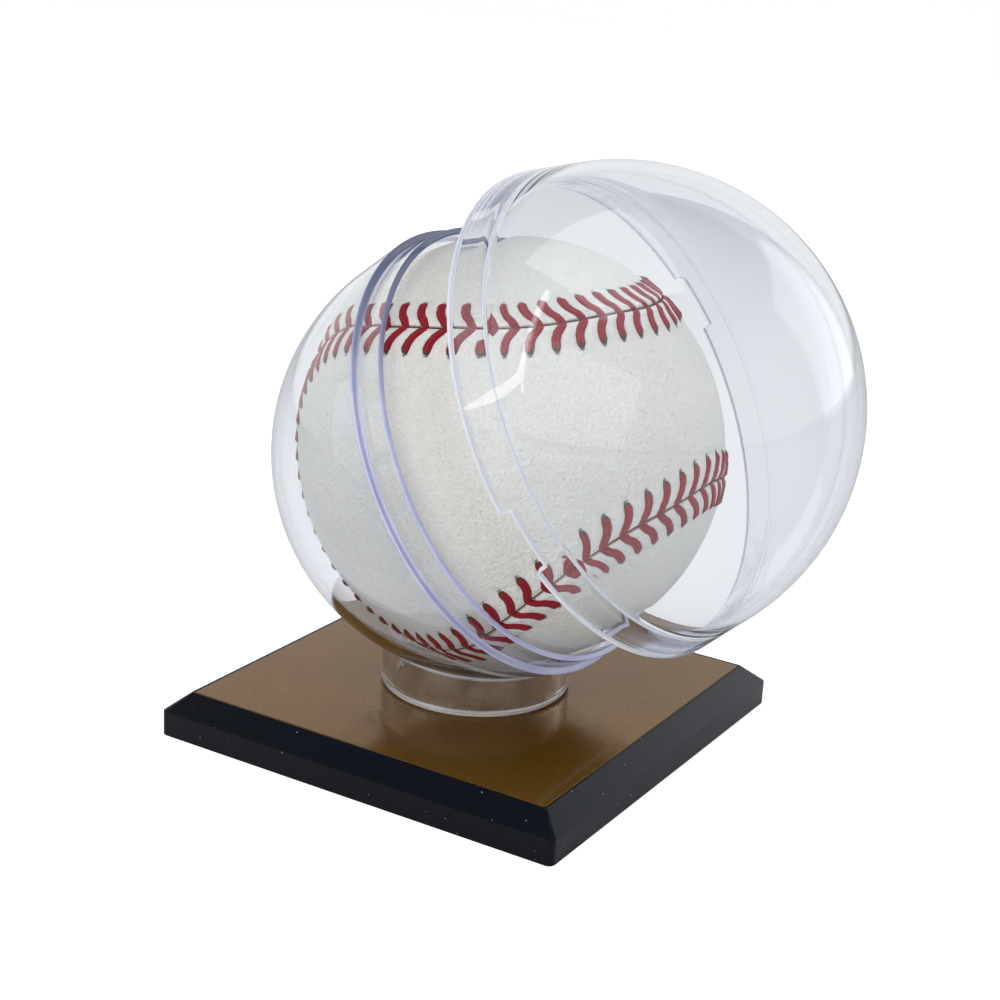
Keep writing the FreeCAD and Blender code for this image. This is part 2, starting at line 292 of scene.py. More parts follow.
def rear_half_profile():
    """Radius and height from the outer pole over the shoulder and the lip to the inner pole."""
    inner = rear_radius - rear_wall
    rim_radius = (rear_radius + shoulder_height * math.sin(rear_lean)) / math.cos(rear_lean)
    lip_radius = inner + lip_thickness
    lip_top = shoulder_height + lip_length
    outer_dome = arc((0, 0), rear_radius, -math.pi / 2, -rear_lean, dome_steps)
    edges = eased([
        outer_dome[-1],
        (rim_radius, shoulder_height),
        (lip_radius, shoulder_height),
        (lip_radius, lip_top),
        (inner, lip_top),
        (inner, 0),
    ], edge_radius)
    inner_dome = arc((0, 0), inner, 0, -math.pi / 2, dome_steps)
    return np.concatenate([outer_dome, edges[1:-1], inner_dome])


def make_rear_half():
    """Clear fixed half: its profile turned about the globe's axis, closed at both poles.

    The shoulder and the end of the lip, which lie across the wall, get the second finish, whose pale colour
    is painted light.
    """
    profile = rear_half_profile()
    angles = full_turn(globe_steps)
    radius = np.repeat(profile[None, :, 0], len(angles), axis=0)
    height = np.repeat(profile[None, :, 1], len(angles), axis=0)
    points = turned_on_globe_axis(radius, height, angles, globe_centre)
    faces = grid_faces(*radius.shape, closed_rows=True, pinch=(("column", 0), ("column", -1)))
    piece = mesh_object("clear_rear_half", points.reshape(-1, 3), faces)
    beyond = (face_middles(piece) - globe_centre) @ globe_axis
    close = end_face_share * edge_radius
    at_shoulder = np.abs(beyond - shoulder_height) < close
    at_lip_end = beyond > shoulder_height + lip_length - close
    give_end_faces_painted_light(piece, at_shoulder | at_lip_end)
    return piece


def notch_half_angle():
    """Half the angle that a notch takes of the rim, and the angle of one softened edge there."""
    rim_radius = cover_radius / math.cos(cover_lean)
    return math.asin(notch_length / 2 / rim_radius), edge_radius / rim_radius


def notch_at(angles):
    """Depth of the rim notches at each angle: two flat-bottomed cuts with steep, softened ends."""
    half, soft = notch_half_angle()
    away = np.abs((angles - notch_turn + math.pi / 2) % math.pi - math.pi / 2)
    return notch_depth * (1 - smooth(half - soft, half + soft, away))


def notch_angles():
    """Even angles round the rim, with many more close to the ends of the notches."""
    half, soft = notch_half_angle()
    close = np.linspace(-2, 2, notch_end_steps) * soft
    ends = [notch_turn + turn + side * half + close for turn in (0, math.pi) for side in (-1, 1)]
    return np.unique(np.concatenate([full_turn(globe_steps)] + ends) % (2 * math.pi))


def make_front_half():
    """Clear cover: dome, leaning skirt with an inner step, and a rim lowered at the notches.

    Heights are measured from the cover's centre towards the rear half. The skirt's points slide
    down the wall with the rim, so the wall keeps its lean where a notch is. The rim and the step,
    which lie across the wall, get the second finish, whose pale colour is painted light.
    """
    angles = notch_angles()
    rim = cover_rim_height - notch_at(angles)[:, None]
    foot = -cover_radius * math.sin(cover_lean)
    inner = cover_radius - cover_wall
    step = cover_rim_height - skirt_depth
    step_end = step - 2 * ledge_radius
    outer_dome = arc((0, 0), cover_radius, -math.pi / 2, -cover_lean, dome_steps)
    bore_top = rim - edge_radius
    bore_foot = step + 2 * ledge_radius
    skirt_height = foot + (bore_top - foot) * wall_shares
    skirt_radius = outer_dome[-1, 0] + (skirt_height - foot) * math.tan(cover_lean)
    bore_height = bore_foot + (bore_top - bore_foot) * wall_shares[::-1]
    bore_radius = skirt_rim_radius - (cover_rim_height - bore_height) * math.tan(skirt_lean)
    turns = np.linspace(0, math.pi / 2, corner_steps)[1:]
    outer_round = skirt_radius[:, -1:] - edge_radius + edge_radius * np.cos(turns)
    outer_rise = bore_top + edge_radius * np.sin(turns)
    inner_round = bore_radius[:, :1] + edge_radius - edge_radius * np.cos(turns[::-1])
    inner_rise = bore_top + edge_radius * np.sin(turns[::-1])
    step_radius = math.sqrt(inner * inner - step * step)
    step_outer = skirt_rim_radius - skirt_depth * math.tan(skirt_lean)
    ledge = eased([
        (step_outer, bore_foot),
        (step_outer, step),
        (step_radius, step),
        (step_radius, step_end),
    ], ledge_radius)[1:-1]
    inner_dome = arc((0, 0), inner, math.asin(step_end / inner), -math.pi / 2, dome_steps)

    def section(column, skirt, outer_edge, inner_edge, bore):
        """One coordinate of the whole section at every angle, from the outer to the inner pole."""
        dome, shelf, hollow = [
            np.repeat(part[None, :, column], len(angles), axis=0)
            for part in (outer_dome, ledge, inner_dome)
        ]
        return np.concatenate([dome, skirt, outer_edge, inner_edge, bore, shelf, hollow], axis=1)

    radius = section(0, skirt_radius, outer_round, inner_round, bore_radius)
    height = section(1, skirt_height, outer_rise, inner_rise, bore_height)
    origin = globe_centre + globe_axis * (cover_rim_distance + cover_rim_height)
    points = turned_on_globe_axis(radius, -height, angles, origin)
    faces = grid_faces(*radius.shape, closed_rows=True, pinch=(("column", 0), ("column", -1)))
    piece = mesh_object("clear_cover", points.reshape(-1, 3), faces)
    middles = face_middles(piece) - origin
    depth = -middles @ globe_axis
    across = middles @ across_axis
    upward = middles @ up_axis
    on_ledge = (np.abs(depth - step) < ledge_radius) & (np.hypot(across, upward) < step_outer)
    rim_there = cover_rim_height - notch_at(np.arctan2(upward, across))
    at_rim = depth > rim_there - end_face_share * edge_radius
    give_end_faces_painted_light(piece, on_ledge | at_rim)
    return piece


def make_stand_ring():
    """Clear ring: a tube with rounded feet whose top follows the globe's sphere, less a hair.

    Its seat and its feet, which lie across the wall, get the second finish, whose pale colour is painted
    light.
    """
    angles = full_turn(ring_steps)[:, None]
    inner = ring_radius - ring_wall
    bottom = ring_low[2]
    turns = np.linspace(0, math.pi / 2, ring_foot_steps)
    foot_reach = ring_edge * np.sin(turns)
    foot_height = bottom + ring_edge - ring_edge * np.cos(turns)
    seat_reach = rear_radius + cement_gap

    def seat(radius):
        """Height of the globe's sphere over a radius, for each angle."""
        x = radius * np.cos(angles) - globe_centre[0]
        y = radius * np.sin(angles)
        return globe_centre[2] - np.sqrt(seat_reach * seat_reach - x * x - y * y)

    def wall(radius):
        """Heights up a wall, from the top of its foot to the seat."""
        return foot_height[-1] + (seat(np.array([radius])) - foot_height[-1]) * ring_lifts

    top_radius = np.linspace(ring_radius, inner, corner_steps)
    ones = np.ones_like(angles)
    radius = ones * np.concatenate([
        ring_radius - ring_edge + foot_reach,
        np.full(len(ring_lifts), ring_radius),
        top_radius,
        np.full(len(ring_lifts), inner),
        inner + ring_edge - foot_reach[::-1],
    ])
    height = np.concatenate([
        ones * foot_height,
        wall(ring_radius),
        seat(top_radius),
        wall(inner)[:, ::-1],
        ones * foot_height[::-1],
    ], axis=1)
    points = np.stack([radius * np.cos(angles), radius * np.sin(angles), height], axis=-1)
    faces = grid_faces(*radius.shape, closed_rows=True, closed_columns=True)
    piece = mesh_object("clear_stand_ring", points.reshape(-1, 3), faces)
    middles = face_middles(piece)
    hair = 0.1 * ring_wall
    on_seat = np.abs(np.linalg.norm(middles - globe_centre, axis=1) - seat_reach) < hair
    give_end_faces_painted_light(piece, on_seat | (middles[:, 2] < bottom + ring_edge))
    return piece


def rounded_square_path(half, corner):
    """Points of rounded squares: one row for each half side and corner radius, once round."""
    turns = np.linspace(0, math.pi / 2, square_corner_steps)
    quarter = np.stack([np.cos(turns), np.sin(turns)], axis=1)
    sides = []
    for number in range(4):
        angle = number * math.pi / 2
        spin = np.array(((math.cos(angle), -math.sin(angle)), (math.sin(angle), math.cos(angle))))
        bend = (half - corner)[:, None, None] + corner[:, None, None] * quarter
        sides.append(bend @ spin.T)
    return np.concatenate(sides, axis=1)


def square_turned(name, profile, corner):
    """Closed piece: a profile of half side and height carried round a rounded square."""
    path = rounded_square_path(profile[:, 0], corner)
    height = np.repeat(profile[:, 1][:, None], path.shape[1], axis=1)
    points = np.concatenate([path, height[..., None]], axis=-1)
    faces = grid_faces(*height.shape, closed_columns=True, pinch=(("row", 0), ("row", -1)))
    return mesh_object(name, points.reshape(-1, 3), faces)


def make_base_block():
    """Black plinth: upright sides, bevel, narrow rim and the recess that takes the plate."""
    top_half = base_half - bevel_inset
    recess_half = plate_half + plate_gap
    recess_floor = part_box("plate_bond_film")[0].z
    profile = eased([
        (0, 0),
        (base_half, 0),
        (base_half, bevel_start),
        (top_half, base_height),
        (recess_half, base_height),
        (recess_half, recess_floor),
        (0, recess_floor),
    ], base_edge)
    corner = np.interp(profile[:, 0], (0, recess_half, top_half, base_half),
                       (0, plate_corner, plate_corner, base_corner))
    return square_turned("black_base", profile, np.minimum(corner, profile[:, 0]))


def make_top_plate():
    """Gold-toned plate, flat with a hair of a chamfer all round."""
    bottom, top = plate_low[2], plate_high[2]
    profile = eased([(0, bottom), (plate_half, bottom), (plate_half, top), (0, top)], plate_edge)
    corner = np.minimum(plate_corner, profile[:, 0])
    return square_turned("gold_top_plate", profile, corner)


# Ball

def turn_matrix(turns):
    """Rotation about a vector by its length in radians."""
    angle = np.linalg.norm(turns)
    x, y, z = turns / angle
    skew = np.array(((0, -z, y), (z, 0, -x), (-y, x, 0)))
    return np.eye(3) + math.sin(angle) * skew + (1 - math.cos(angle)) * (skew @ skew)


# Columns: the ball's own axes as it lies in the case, poles along the globe's axis
ball_axes = np.stack([-across_axis, up_axis, -globe_axis], axis=1) @ turn_matrix(ball_turns)


def seam(turn):
    """Unit vectors of the seam in the ball's own axes; turn goes from 0 to 4 pi once round.

    The angle from the pole swings with the cosine of the turn, and the longitude goes on with
    half the turn plus a small double-turn sine.
    """
    polar = math.pi / 2 - (math.pi / 2 - seam_waist) * np.cos(turn)
    longitude = turn / 2 + seam_waist * np.sin(2 * turn)
    x = np.sin(polar) * np.cos(longitude)
    y = np.sin(polar) * np.sin(longitude)
    return np.stack([x, y, np.cos(polar)], axis=-1)


def seam_along(turn):
    """Unit vectors along the seam, from a small step each way."""
    step = 1e-4
    return unit(seam(turn + step) - seam(turn - step))


seam_turns = np.linspace(0, 4 * math.pi, seam_point_count, endpoint=False)
seam_line = seam(seam_turns)
seam_steps = np.linalg.norm(np.roll(seam_line, -1, axis=0) - seam_line, axis=1) * ball_radius
seam_travel = np.concatenate([[0.0], np.cumsum(seam_steps)[:-1]])
seam_length = seam_steps.sum()
stitch_pitch = seam_length / stitch_count


def beside_seam(directions):
    """Distance from the seam and travel along it of the nearest seam point, in metres.

    The nearest point is the one with the largest cosine, found in batches of whole arrays.
    """
    batch_count = 60
    batches = np.array_split(directions, batch_count)
    nearest = np.concatenate([np.argmax(batch @ seam_line.T, axis=1) for batch in batches])
    out = seam_line[nearest]
    along = seam_along(seam_turns[nearest])
    offset = directions - out
    ahead = np.einsum("ij,ij->i", offset, along)
    distance = np.arccos(np.clip(np.einsum("ij,ij->i", out, directions), -1, 1)) * ball_radius
    distance = np.sqrt(np.maximum(distance**2 - (ahead * ball_radius) ** 2, 0))
    return distance, seam_travel[nearest] + ahead * ball_radius


def trail(share):
    """How much of the lean a leg has at a share of its reach: most of it near the seam."""
    share = np.clip(share, 0, 1)
    return 1 - (1 - share) ** 3


def leather_height(distance, travel):
    """Height of the leather over the plain ball, and the shade of the needle holes.

    A low ridge runs along the seam, the edges roll down into the crease, the leather puffs up
    between the threads, and a dimple lies round each needle hole.
    """
    phase = (travel + stitch_lean * trail(distance / stitch_reach)) / stitch_pitch
    between = 0.5 - 0.5 * np.cos(2 * math.pi * phase)
    ridge = leather_ridge * np.exp(-((distance / ridge_reach) ** 2))
    puff = leather_puff * between * smooth(*puff_from, distance) * (1 - smooth(*puff_until, distance))
    edge = np.clip(1 - (distance - seam_gap) / crease_reach, 0, 1)
    crease = crease_depth * (1 - np.sqrt(np.maximum(1 - edge * edge, 0)))
    along_hole = (phase - np.round(phase)) * stitch_pitch / hole_length
    across_hole = (distance - stitch_reach) / hole_width
    hole = np.exp(-(along_hole**2 + across_hole**2))
    return ridge + puff - crease - hole_depth * hole, hole


def make_leather_panel(name, flip):
    """One figure-eight panel, a closed skin with the leather's thickness.

    Rows are arcs of constant angle about the ball's own x axis, each from one side of the seam to
    the other; the seam's turn from minus pi to pi sets a row's angle and its reach in x. The
    columns crowd towards the seam. The other panel is the same shape flipped over and turned a
    quarter.
    """
    turn = np.linspace(-math.pi, math.pi, panel_rows)
    edge = seam(turn)
    inward = np.cross(edge, seam_along(turn))
    edge = unit(edge + inward * (seam_gap / ball_radius))
    angle = np.unwrap(np.arctan2(edge[:, 1], edge[:, 2]))
    reach = np.abs(edge[:, 0])
    reach[[0, -1]] = 0
    loose = np.sin(np.linspace(-math.pi / 2, math.pi / 2, panel_columns))
    tight = np.sign(loose) * (1 - (1 - np.abs(loose)) ** crowding_power)
    x = reach[:, None] * ((1 - crowding) * loose + crowding * tight)
    ring = np.sqrt(1 - x * x)
    outside = np.stack([x, ring * np.sin(angle)[:, None], ring * np.cos(angle)[:, None]], axis=-1)
    if flip:
        outside = outside[..., [1, 0, 2]] * (1, 1, -1)
    shape = outside.shape
    distance, travel = beside_seam(outside.reshape(-1, 3))
    height, hole = leather_height(distance, travel)
    outer = outside * (ball_radius + height.reshape(shape[:2]))[..., None]
    inner = outside[:, ::-panel_inside_skip] * (ball_radius - leather_thickness)
    own = np.concatenate([outer, inner], axis=1)

    def with_inside(value):
        """A value on the outside's points, carried over to the inside's."""
        value = value.reshape(shape[:2])
        return np.concatenate([value, value[:, ::-panel_inside_skip]], axis=1).ravel()

    points = (ball_centre + own @ ball_axes.T).reshape(-1, 3)
    faces = grid_faces(*own.shape[:2], closed_columns=True)
    values = {"seam_distance": with_inside(distance / MM), "needle_hole_shade": with_inside(hole)}
    return mesh_object(name, points, faces, values)


def make_red_stitching():
    """All thread legs in one mesh: flat straps that rise from the crease and dive into their holes.

    A leg's middle goes out across the seam while it trails back along it. Its section is a
    flattened circle, narrow in the crease, then of one width, with a blunt end in the hole.
    """
    starts = np.arange(stitch_count)[:, None] * stitch_pitch
    travel = (starts - stitch_lean * trail(leg_stations)) % seam_length
    turn = np.interp(travel, np.append(seam_travel, seam_length), np.append(seam_turns, 4 * math.pi))
    out = seam(turn)
    along = seam_along(turn)
    offset = (leg_stations * stitch_reach)[None, :, None]
    in_crease = 1 - smooth(0, leg_in_crease, leg_stations)
    in_hole = smooth(*leg_dive, leg_stations)
    lift = thread_rise - crease_sink * in_crease - hole_sink * in_hole
    narrow = 1 - end_narrowing * (in_crease + smooth(*leg_taper, leg_stations))
    around = full_turn(leg_sides)
    width = (thread_half_width * narrow)[None, :, None, None] * np.cos(around)[:, None]
    thick = (thread_half_height * narrow)[None, :, None, None] * np.sin(around)[:, None]
    legs = []
    for side in (-1, 1):
        across = np.cross(along, out) * side
        middle = unit(out * ball_radius + across * offset)
        heading = unit(np.gradient(middle, axis=1))
        sideways = np.cross(middle, heading)
        centre = middle * (ball_radius + lift)[None, :, None]
        legs.append(centre[:, :, None] + sideways[:, :, None] * width + middle[:, :, None] * thick)
    tubes = np.concatenate(legs)
    count, rings, sides = tubes.shape[:3]
    one = grid_faces(rings, sides, closed_columns=True, pinch=(("row", 0), ("row", -1)))
    faces = (one[None] + (np.arange(count) * rings * sides)[:, None, None]).reshape(-1, 4)
    points = (ball_centre + tubes @ ball_axes.T).reshape(-1, 3)
    grid = np.ones((count, rings, sides))
    values = {
        "along_thread": (grid * leg_stations[None, :, None]).ravel(),
        "round_thread": (grid * around / (2 * math.pi)).ravel(),
    }
    return mesh_object("red_thread_legs", points, faces, values)


# Materials

styrene_ior = 1.57


def linear(code):
    """Linear colour with full alpha from an sRGB hex value."""
    channels = [int(code[k:k + 2], 16) / 255 for k in (1, 3, 5)]
    return [c / 12.92 if c <= 0.04045 else ((c + 0.055) / 1.055) ** 2.4 for c in channels] + [1.0]


def add(tree, kind, inputs=None, **settings):
    """Add a node with its settings; each input is a value or the socket that is linked to it."""
    node = tree.nodes.new(kind)
    for key, value in settings.items():
        setattr(node, key, value)
    for key, value in (inputs or {}).items():
        if isinstance(value, bpy.types.NodeSocket):
            tree.links.new(value, node.inputs[key])
        else:
            node.inputs[key].default_value = value
    return node


def new_material(name):
    """Empty node material; gives the material, its tree and the place on the piece."""
    material = bpy.data.materials.new(name)
    material.use_nodes = True
    tree = material.node_tree
    tree.nodes.clear()
    return material, tree, add(tree, "ShaderNodeTexCoord").outputs["Object"]


def per_metre(size_mm):
    """Texture scale at which one pattern cell is a size in millimetres."""
    return 1000.0 / size_mm


def shadowless(tree, plastic):
    """Clear plastic that casts hardly any shadow: shadow rays meet a plain see-through surface."""
    see_through = add(tree, "ShaderNodeBsdfTransparent", {"Color": linear("#fefeff")})
    path = add(tree, "ShaderNodeLightPath")
    mix = add(tree, "ShaderNodeMixShader", {
        "Fac": path.outputs["Is Shadow Ray"], 1: plastic.outputs[0], 2: see_through.outputs[0]})
    return mix.outputs[0]


def clear_styrene():
    """Injection-moulded crystal polystyrene: glass-clear, gently wavy, bluish down its edges.

    The eye sees it by its edges, where light has come far through the plastic, and by reflections.
    """
    material, tree, place = new_material("clear_moulded_styrene")
    wave = add(tree, "ShaderNodeTexNoise", {"Vector": place, "Scale": per_metre(18.0), "Detail": 1.0})
    bump = add(tree, "ShaderNodeBump", {
        "Height": wave.outputs["Fac"], "Strength": 0.25, "Distance": 0.05 * MM})
    plastic = add(tree, "ShaderNodeBsdfPrincipled", {
        "Base Color": linear("#ffffff"), "Roughness": 0.0, "IOR": styrene_ior, "Transmission Weight": 1.0,
        "Normal": bump.outputs["Normal"]})
    depth = add(tree, "ShaderNodeVolumeAbsorption", {"Color": linear("#a4c4ee"), "Density": 42.0})
    add(tree, "ShaderNodeOutputMaterial", {
        "Surface": shadowless(tree, plastic), "Volume": depth.outputs[0]})
    return material


def styrene_tube():
    """Sawn styrene tube, polished by hand: clear, with upright marks and smears of dried cement."""
    material, tree, place = new_material("polished_styrene_tube")
    upright = add(tree, "ShaderNodeMapping", {"Vector": place, "Scale": (1, 1, 0.08)})
    marks = add(tree, "ShaderNodeTexNoise", {
        "Vector": upright.outputs[0], "Scale": per_metre(2.4), "Detail": 3.0})
    rough = add(tree, "ShaderNodeMapRange", {"Value": marks.outputs["Fac"], "To Min": 0.0, "To Max": 0.05})
    bump = add(tree, "ShaderNodeBump", {
        "Height": marks.outputs["Fac"], "Strength": 0.5, "Distance": 0.15 * MM})
    smear = add(tree, "ShaderNodeTexNoise", {"Vector": place, "Scale": per_metre(5.0), "Detail": 4.0})
    clean = add(tree, "ShaderNodeMapRange", {
        "Value": smear.outputs["Fac"], "From Min": 0.42, "From Max": 0.62})
    colour = add(tree, "ShaderNodeMix", {
        "Factor": clean.outputs[0], 6: linear("#d4ccc6"), 7: linear("#ffffff")}, data_type="RGBA")
    plastic = add(tree, "ShaderNodeBsdfPrincipled", {
        "Base Color": colour.outputs[2], "Roughness": rough.outputs[0], "IOR": styrene_ior,
        "Transmission Weight": 0.98, "Normal": bump.outputs["Normal"]})
    add(tree, "ShaderNodeOutputMaterial", {"Surface": shadowless(tree, plastic)})
    return material


def styrene_end_face(name, first, second, top_shade_tone, clearness):
    """End of a moulded wall, hazy and faintly tinted: its pale colour is painted light, for the light that
    the wall leads out here.

    Towards the top it goes over to a third tone, painted shade, because less light comes in from below
    there.
    """
    material, tree, place = new_material(name)
    cloud = add(tree, "ShaderNodeTexNoise", {"Vector": place, "Scale": per_metre(6.0), "Detail": 2.0})
    low_down = add(tree, "ShaderNodeMix", {
        "Factor": cloud.outputs["Fac"], 6: linear(first), 7: linear(second)}, data_type="RGBA")
    height = add(tree, "ShaderNodeSeparateXYZ", {0: place}).outputs["Z"]
    # Painted shade: from 66 to 86 mm up, the colour goes over to the top tone.
    high = add(tree, "ShaderNodeMapRange", {"Value": height, "From Min": 66 * MM, "From Max": 86 * MM})
    colour = add(tree, "ShaderNodeMix", {
        "Factor": high.outputs[0], 6: low_down.outputs[2], 7: linear(top_shade_tone)}, data_type="RGBA")
    surface = add(tree, "ShaderNodeBsdfPrincipled", {
        "Base Color": colour.outputs[2], "Roughness": 0.12, "IOR": styrene_ior,
        "Transmission Weight": clearness})
    add(tree, "ShaderNodeOutputMaterial", {"Surface": surface.outputs[0]})
    return material


def black_acrylic():
    """Moulded black acrylic, polished: near black with a cool sheen, a few dust specks.

    The specks are drawn larger than real dust, so that they show.
    """
    material, tree, place = new_material("polished_black_acrylic")
    cloud = add(tree, "ShaderNodeTexNoise", {"Vector": place, "Scale": per_metre(9.0), "Detail": 4.0})
    rough = add(tree, "ShaderNodeMapRange", {"Value": cloud.outputs["Fac"], "To Min": 0.12, "To Max": 0.24})
    dust = add(tree, "ShaderNodeTexVoronoi", {"Vector": place, "Scale": per_metre(2.6)})
    speck = add(tree, "ShaderNodeMapRange", {
        "Value": dust.outputs["Distance"], "From Min": 0.06, "From Max": 0.04})
    colour = add(tree, "ShaderNodeMix", {
        "Factor": speck.outputs[0], 6: linear("#07080b"), 7: linear("#8f939b")}, data_type="RGBA")
    surface = add(tree, "ShaderNodeBsdfPrincipled", {
        "Base Color": colour.outputs[2], "Roughness": rough.outputs[0], "IOR": 1.49,
        "Specular IOR Level": 0.23, "Specular Tint": linear("#d2def4")})
    add(tree, "ShaderNodeOutputMaterial", {"Surface": surface.outputs[0]})
    return material


def gold_plate():
    """Bronze-gold lacquered plate: a metal tone that mirrors warmly, under a clear gloss.

    The grain of the metal is drawn coarser than it is, so that it shows.
    """
    material, tree, place = new_material("bronze_gold_lacquered_plate")
    cloud = add(tree, "ShaderNodeTexNoise", {"Vector": place, "Scale": per_metre(14.0), "Detail": 5.0})
    grain = add(tree, "ShaderNodeTexNoise", {"Vector": place, "Scale": per_metre(0.5), "Detail": 2.0})
    tone = add(tree, "ShaderNodeMath", {
        0: cloud.outputs["Fac"], 1: grain.outputs["Fac"]}, operation="MULTIPLY")
    colour = add(tree, "ShaderNodeMix", {
        "Factor": tone.outputs[0], 6: linear("#6a4603"), 7: linear("#926a08")}, data_type="RGBA")
    bump = add(tree, "ShaderNodeBump", {
        "Height": grain.outputs["Fac"], "Strength": 0.1, "Distance": 0.01 * MM})
    surface = add(tree, "ShaderNodeBsdfPrincipled", {
        "Base Color": colour.outputs[2], "Metallic": 0.45, "Roughness": 0.15, "Specular IOR Level": 0.1,
        "Coat Weight": 0.26, "Coat Roughness": 0.02, "Coat IOR": 1.5, "Normal": bump.outputs["Normal"]})
    add(tree, "ShaderNodeOutputMaterial", {"Surface": surface.outputs[0]})
    return material


def ball_leather():
    """Alum-tanned cowhide, off-white with a pebble grain; brown painted shade in the crease and at the
    needle holes.

    The pebbles are drawn about twice as coarse as real ones, so that they show.
    """
    material, tree, place = new_material("off_white_pebbled_leather")
    cloud = add(tree, "ShaderNodeTexNoise", {"Vector": place, "Scale": per_metre(11.0), "Detail": 3.0})
    pebble = add(tree, "ShaderNodeTexVoronoi", {
        "Vector": place, "Scale": per_metre(0.65)}, feature="SMOOTH_F1").outputs["Distance"]
    fine = add(tree, "ShaderNodeTexNoise", {"Vector": place, "Scale": per_metre(0.3), "Detail": 3.0})
    grain = add(tree, "ShaderNodeMath", {0: pebble, 1: fine.outputs["Fac"]}, operation="MULTIPLY")
    bump = add(tree, "ShaderNodeBump", {"Height": grain.outputs[0], "Strength": 1.0, "Distance": 0.5 * MM})
    clean = add(tree, "ShaderNodeMix", {
        "Factor": cloud.outputs["Fac"], 6: linear("#e6e4de"), 7: linear("#dddbd5")}, data_type="RGBA")
    beside = add(tree, "ShaderNodeAttribute", attribute_name="seam_distance").outputs["Fac"]
    hole = add(tree, "ShaderNodeAttribute", attribute_name="needle_hole_shade").outputs["Fac"]
    pores = add(tree, "ShaderNodeMapRange", {
        "Value": pebble, "From Min": 0.4, "From Max": 0.1, "To Max": 0.14})
    # Painted shade along the seam's crease, reddish brown.
    crease = add(tree, "ShaderNodeMapRange", {"Value": beside, "From Min": 0.35, "From Max": 0.08})
    # Painted shade round each needle hole, dark brown.
    hole_shade = add(tree, "ShaderNodeMapRange", {"Value": hole, "From Min": 0.35, "From Max": 0.9})
    colour = clean.outputs[2]
    # The pores get a darker tone of their own; the crease and the needle holes get painted shade.
    for where, tone_and_shade in ((pores, "#a49f92"), (crease, "#80504a"), (hole_shade, "#4a3a2c")):
        toned_and_shaded = add(tree, "ShaderNodeMix", {
            "Factor": where.outputs[0], 6: colour, 7: linear(tone_and_shade)}, data_type="RGBA")
        colour = toned_and_shaded.outputs[2]
    surface = add(tree, "ShaderNodeBsdfPrincipled", {
        "Base Color": colour, "Roughness": 0.55, "IOR": 1.45, "Normal": bump.outputs["Normal"]})
    add(tree, "ShaderNodeOutputMaterial", {"Surface": surface.outputs[0]})
    return material


def red_thread():
    """Waxed red cotton thread, laid double: soft gloss, ply lines, dark brown painted shade where it enters
    a hole.

    The plies, about seven round a leg, are drawn coarser than real ones, so that they show.
    """
    material, tree, place = new_material("waxed_red_cotton_thread")
    along = add(tree, "ShaderNodeAttribute", attribute_name="along_thread").outputs["Fac"]
    across = add(tree, "ShaderNodeAttribute", attribute_name="round_thread").outputs["Fac"]
    fibre = add(tree, "ShaderNodeTexNoise", {"Vector": place, "Scale": per_metre(0.35), "Detail": 3.0})
    where = add(tree, "ShaderNodeCombineXYZ", {"X": along, "Y": across})
    ply = add(tree, "ShaderNodeTexWave", {
        "Vector": where.outputs[0], "Scale": 2.2, "Distortion": 2.0}, bands_direction="Y")
    bump = add(tree, "ShaderNodeBump", {
        "Height": ply.outputs["Fac"], "Strength": 0.6, "Distance": 0.15 * MM})
    streak = add(tree, "ShaderNodeMath", {
        0: fibre.outputs["Fac"], 1: ply.outputs["Fac"]}, operation="MULTIPLY")
    red = add(tree, "ShaderNodeMix", {
        "Factor": streak.outputs[0], 6: linear("#760c1a"), 7: linear("#bc2038")}, data_type="RGBA")
    # Painted shade: each leg goes dark brown towards its end, where it dives into its hole.
    end = add(tree, "ShaderNodeMapRange", {"Value": along, "From Min": 0.82, "From Max": 0.95})
    colour = add(tree, "ShaderNodeMix", {
        "Factor": end.outputs[0], 6: red.outputs[2], 7: linear("#4a382a")}, data_type="RGBA")
    surface = add(tree, "ShaderNodeBsdfPrincipled", {
        "Base Color": colour.outputs[2], "Roughness": 0.6, "Specular IOR Level": 0.25, "Sheen Weight": 0.03,
        "Normal": bump.outputs["Normal"]})
    add(tree, "ShaderNodeOutputMaterial", {"Surface": surface.outputs[0]})
    return material


def grained(name, first, second, grain_mm, roughness, bump_mm):
    """Matt stuff with two tones mixed by a grain of a given size, which also stands out a little."""
    material, tree, place = new_material(name)
    grain = add(tree, "ShaderNodeTexNoise", {"Vector": place, "Scale": per_metre(grain_mm), "Detail": 4.0})
    colour = add(tree, "ShaderNodeMix", {
        "Factor": grain.outputs["Fac"], 6: linear(first), 7: linear(second)}, data_type="RGBA")
    bump = add(tree, "ShaderNodeBump", {
        "Height": grain.outputs["Fac"], "Strength": 0.5, "Distance": bump_mm * MM})
    surface = add(tree, "ShaderNodeBsdfPrincipled", {
        "Base Color": colour.outputs[2], "Roughness": roughness, "Normal": bump.outputs["Normal"]})
    add(tree, "ShaderNodeOutputMaterial", {"Surface": surface.outputs[0]})
    return material


def dress(piece, finishes, body, slot, *nodes):
    """Give a new piece its finishes, the body that it rides on and the nodes it replaces; slot is not used.
    """
    for material in finishes:
        piece.data.materials.append(material)
    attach(piece, body)
    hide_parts(*nodes)


def dress_node(node, material):
    """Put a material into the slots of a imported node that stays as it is."""
    mesh = frame["nodes"][node].data
    if not mesh.materials:
        mesh.materials.append(material)
    for number in range(len(mesh.materials)):
        mesh.materials[number] = material


# Stage

